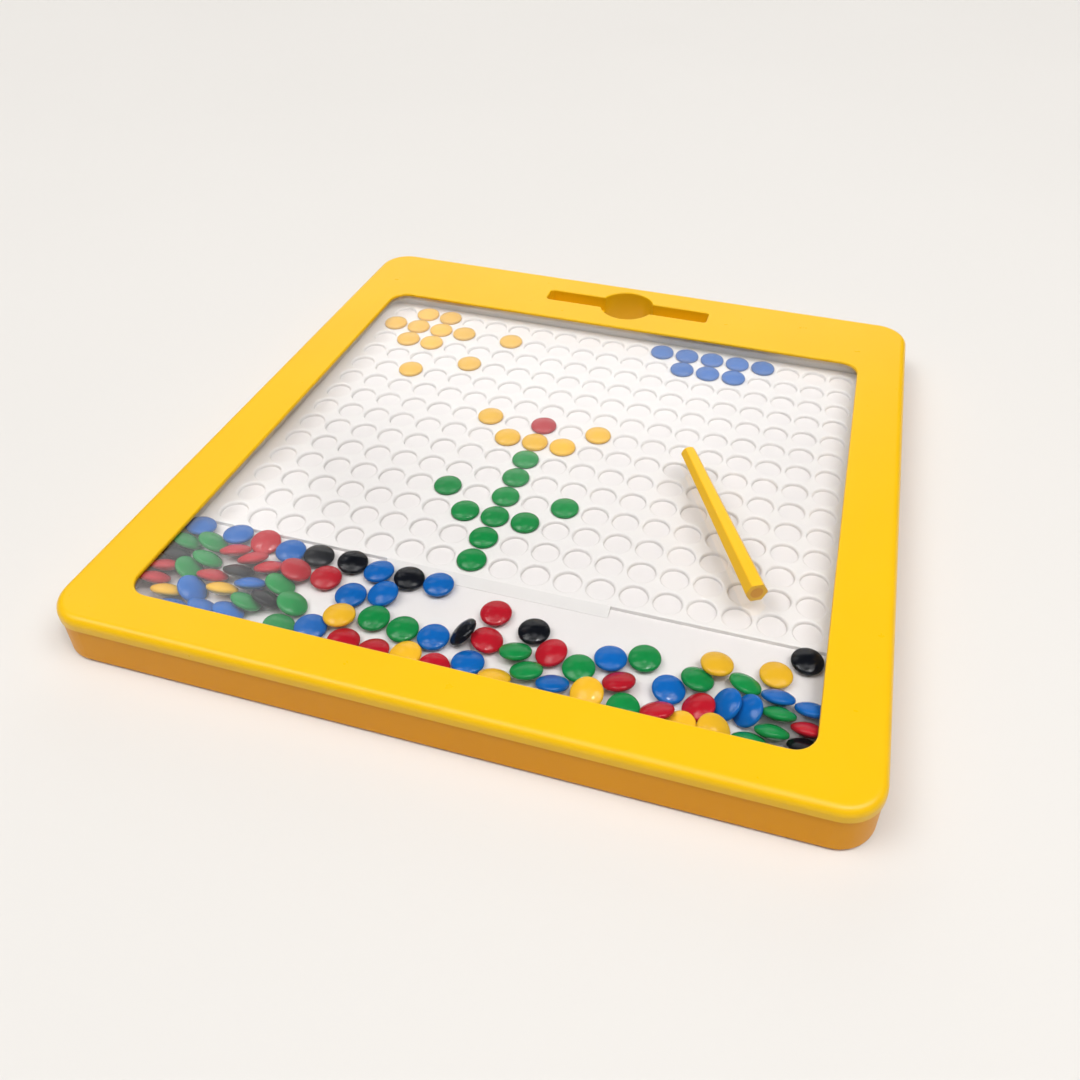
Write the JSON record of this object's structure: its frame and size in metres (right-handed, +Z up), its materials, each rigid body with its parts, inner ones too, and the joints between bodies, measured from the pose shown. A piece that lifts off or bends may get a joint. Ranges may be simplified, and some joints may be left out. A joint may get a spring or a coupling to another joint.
{
  "type": "magnetic bead drawing board",
  "caption": "Square tray-like drawing board: clear window over a white pocketed panel, loose magnetic lentil beads and a tapered magnetic stylus.",
  "frame": {"origin": "centre of the board's underside", "axes": "+X to the user's right, +Y away from the user towards the stylus slot, +Z up out of the window"},
  "size_m": [0.3, 0.3, 0.0284],
  "materials": {
    "yellow_case": "moulded, soft gloss",
    "yellow_stylus": "moulded, soft gloss",
    "stylus_plug": "moulded",
    "white_tray": "moulded, satin",
    "white_panel": "moulded, satin",
    "clear_window": "clear, glossy",
    "bead_blue": "glossy",
    "bead_green": "glossy",
    "bead_red": "glossy",
    "bead_yellow": "glossy",
    "bead_black": "glossy",
    "bead_core_steel": "plain steel",
    "screw_steel": "zinc plated",
    "magnet": "nickel plated"
  },
  "bodies": {
    "case": {"front_frame": "yellow_case", "back_shell": "yellow_case", "case_screws": "screw_steel", "inner_tray": "white_tray", "window_sheet": "clear_window", "pocket_panel": "white_panel", "panel_ramp": "white_panel"},
    "stylus": {"stylus_body": "yellow_stylus", "stylus_magnet": "magnet", "stylus_plug": "stylus_plug"},
    "bead_heap": {"heap_black_beads": "bead_black", "heap_black_beads_cores": "bead_core_steel", "heap_blue_beads": "bead_blue", "heap_blue_beads_cores": "bead_core_steel", "heap_green_beads": "bead_green", "heap_green_beads_cores": "bead_core_steel", "heap_red_beads": "bead_red", "heap_red_beads_cores": "bead_core_steel", "heap_yellow_beads": "bead_yellow", "heap_yellow_beads_cores": "bead_core_steel"},
    "sun_beads": {"sun_beads": "bead_yellow", "sun_beads_cores": "bead_core_steel"},
    "cloud_beads": {"cloud_beads": "bead_blue", "cloud_beads_cores": "bead_core_steel"},
    "petal_beads": {"petal_beads": "bead_yellow", "petal_beads_cores": "bead_core_steel"},
    "stem_beads": {"stem_beads": "bead_green", "stem_beads_cores": "bead_core_steel"},
    "leaf_beads": {"leaf_beads": "bead_green", "leaf_beads_cores": "bead_core_steel"},
    "flower_centre_bead": {"flower_centre_bead": "bead_red", "flower_centre_bead_cores": "bead_core_steel"},
    "black_corner_bead": {"black_corner_bead": "bead_black", "black_corner_bead_cores": "bead_core_steel"},
    "black_middle_bead": {"black_middle_bead": "bead_black", "black_middle_bead_cores": "bead_core_steel"},
    "red_middle_bead": {"red_middle_bead": "bead_red", "red_middle_bead_cores": "bead_core_steel"},
    "blue_edge_bead": {"blue_edge_bead": "bead_blue", "blue_edge_bead_cores": "bead_core_steel"},
    "green_side_bead": {"green_side_bead": "bead_green", "green_side_bead_cores": "bead_core_steel"}
  },
  "joints": [
    {"name": "stylus_lift", "type": "slide", "parent": "case", "child": "stylus", "axis": [0, 0, 1], "range_m": [0, 0.08]},
    {"name": "heap_slide", "type": "slide", "parent": "case", "child": "bead_heap", "axis": [0, -1, 0], "range_m": [0, 0.0022]},
    {"name": "sun_beads_lift", "type": "slide", "parent": "case", "child": "sun_beads", "axis": [0, 0, 1], "range_m": [0, 0.004]},
    {"name": "cloud_beads_lift", "type": "slide", "parent": "case", "child": "cloud_beads", "axis": [0, 0, 1], "range_m": [0, 0.004]},
    {"name": "petal_beads_lift", "type": "slide", "parent": "case", "child": "petal_beads", "axis": [0, 0, 1], "range_m": [0, 0.004]},
    {"name": "stem_beads_lift", "type": "slide", "parent": "case", "child": "stem_beads", "axis": [0, 0, 1], "range_m": [0, 0.004]},
    {"name": "leaf_beads_lift", "type": "slide", "parent": "case", "child": "leaf_beads", "axis": [0, 0, 1], "range_m": [0, 0.004]},
    {"name": "flower_centre_bead_lift", "type": "slide", "parent": "case", "child": "flower_centre_bead", "axis": [0, 0, 1], "range_m": [0, 0.004]},
    {"name": "black_corner_bead_roll", "type": "slide", "parent": "case", "child": "black_corner_bead", "axis": [1, 0, 0], "range_m": [0, 0.004]},
    {"name": "black_middle_bead_roll", "type": "slide", "parent": "case", "child": "black_middle_bead", "axis": [0, 1, 0], "range_m": [0, 0.01]},
    {"name": "red_middle_bead_roll", "type": "slide", "parent": "case", "child": "red_middle_bead", "axis": [0, 1, 0], "range_m": [0, 0.007]},
    {"name": "blue_edge_bead_roll", "type": "slide", "parent": "case", "child": "blue_edge_bead", "axis": [1, 0, 0], "range_m": [0, 0.012]},
    {"name": "green_side_bead_roll", "type": "slide", "parent": "case", "child": "green_side_bead", "axis": [0, 1, 0], "range_m": [0, 0.014]}
  ]
}
